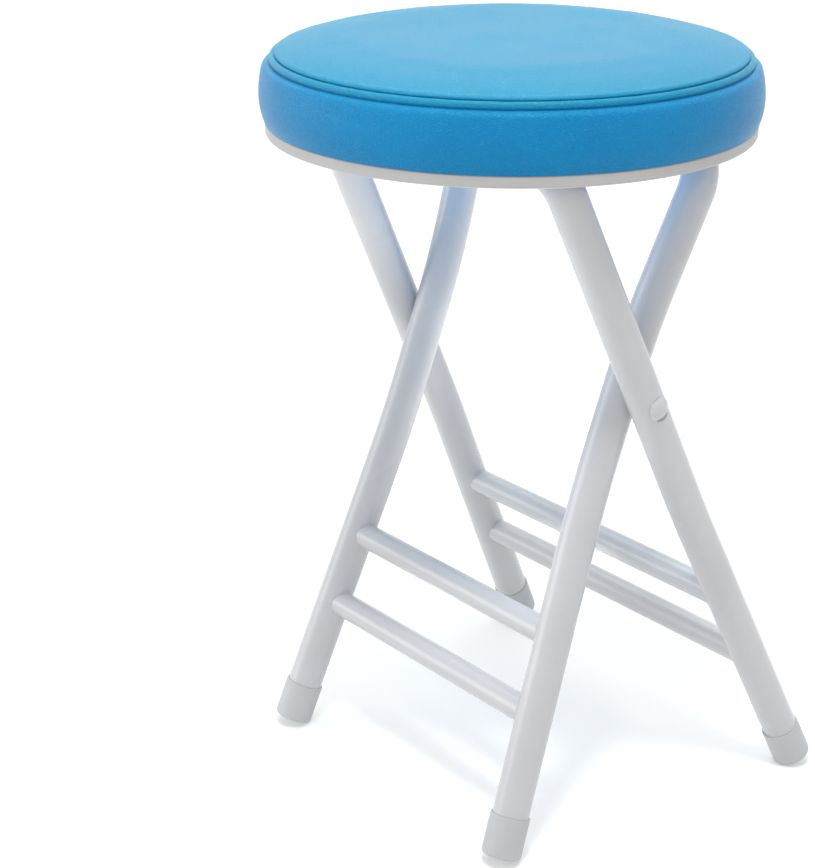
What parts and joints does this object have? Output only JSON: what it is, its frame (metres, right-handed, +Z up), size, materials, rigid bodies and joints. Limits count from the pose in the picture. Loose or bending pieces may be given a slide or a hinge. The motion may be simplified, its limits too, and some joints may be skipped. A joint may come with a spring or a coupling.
{
  "type": "folding bar stool",
  "caption": "Low folding stool with a round padded seat on crossed, nested U tube frames with coped rungs, foot caps, pivot rivets and a seat that hinges on one top bar.",
  "frame": {"origin": "on the floor, under the middle of the round seat", "axes": "+X along the top bars, rungs and pivots; +Y towards the inner frame's top bar; +Z up"},
  "size_m": [0.3018, 0.2982, 0.4723],
  "materials": {
    "vinyl": "fine-grained vinyl with a soft sheen",
    "foam": "open foam",
    "plywood": "raw plywood",
    "pan_plastic": "moulded, satin",
    "block_plastic": "moulded, matt",
    "plated_steel": "zinc plated",
    "powder_coat": "satin powder coat",
    "cap_plastic": "moulded, satin",
    "rivet_paint": "satin paint"
  },
  "bodies": {
    "outer_frame": {"outer_tube": "powder_coat", "outer_upper_rung": "powder_coat", "outer_lower_rung": "powder_coat", "outer_foot_left": "cap_plastic", "outer_foot_right": "cap_plastic", "pivot_rivet_left": "rivet_paint", "pivot_rivet_right": "rivet_paint"},
    "inner_frame": {"inner_tube": "powder_coat", "inner_upper_rung": "powder_coat", "inner_lower_rung": "powder_coat", "inner_foot_left": "cap_plastic", "inner_foot_right": "cap_plastic"},
    "seat": {"seat_cover": "vinyl", "seat_foam": "foam", "seat_board": "plywood", "seat_pan": "pan_plastic", "hinge_block_left": "block_plastic", "hinge_block_right": "block_plastic", "hinge_strap_left": "plated_steel", "hinge_strap_right": "plated_steel", "hinge_screws": "plated_steel", "catch_left": "block_plastic", "catch_right": "block_plastic", "catch_screws": "plated_steel"}
  },
  "joints": [
    {"name": "leg_pivot", "type": "hinge", "parent": "outer_frame", "child": "inner_frame", "pos_m": [0, 0.0075, 0.2716], "axis": [1, 0, 0], "range_deg": [0, 31.5]},
    {"name": "seat_hinge", "type": "hinge", "parent": "outer_frame", "child": "seat", "pos_m": [0, -0.05951, 0.42], "axis": [1, 0, 0], "range_deg": [0, 76]}
  ]
}
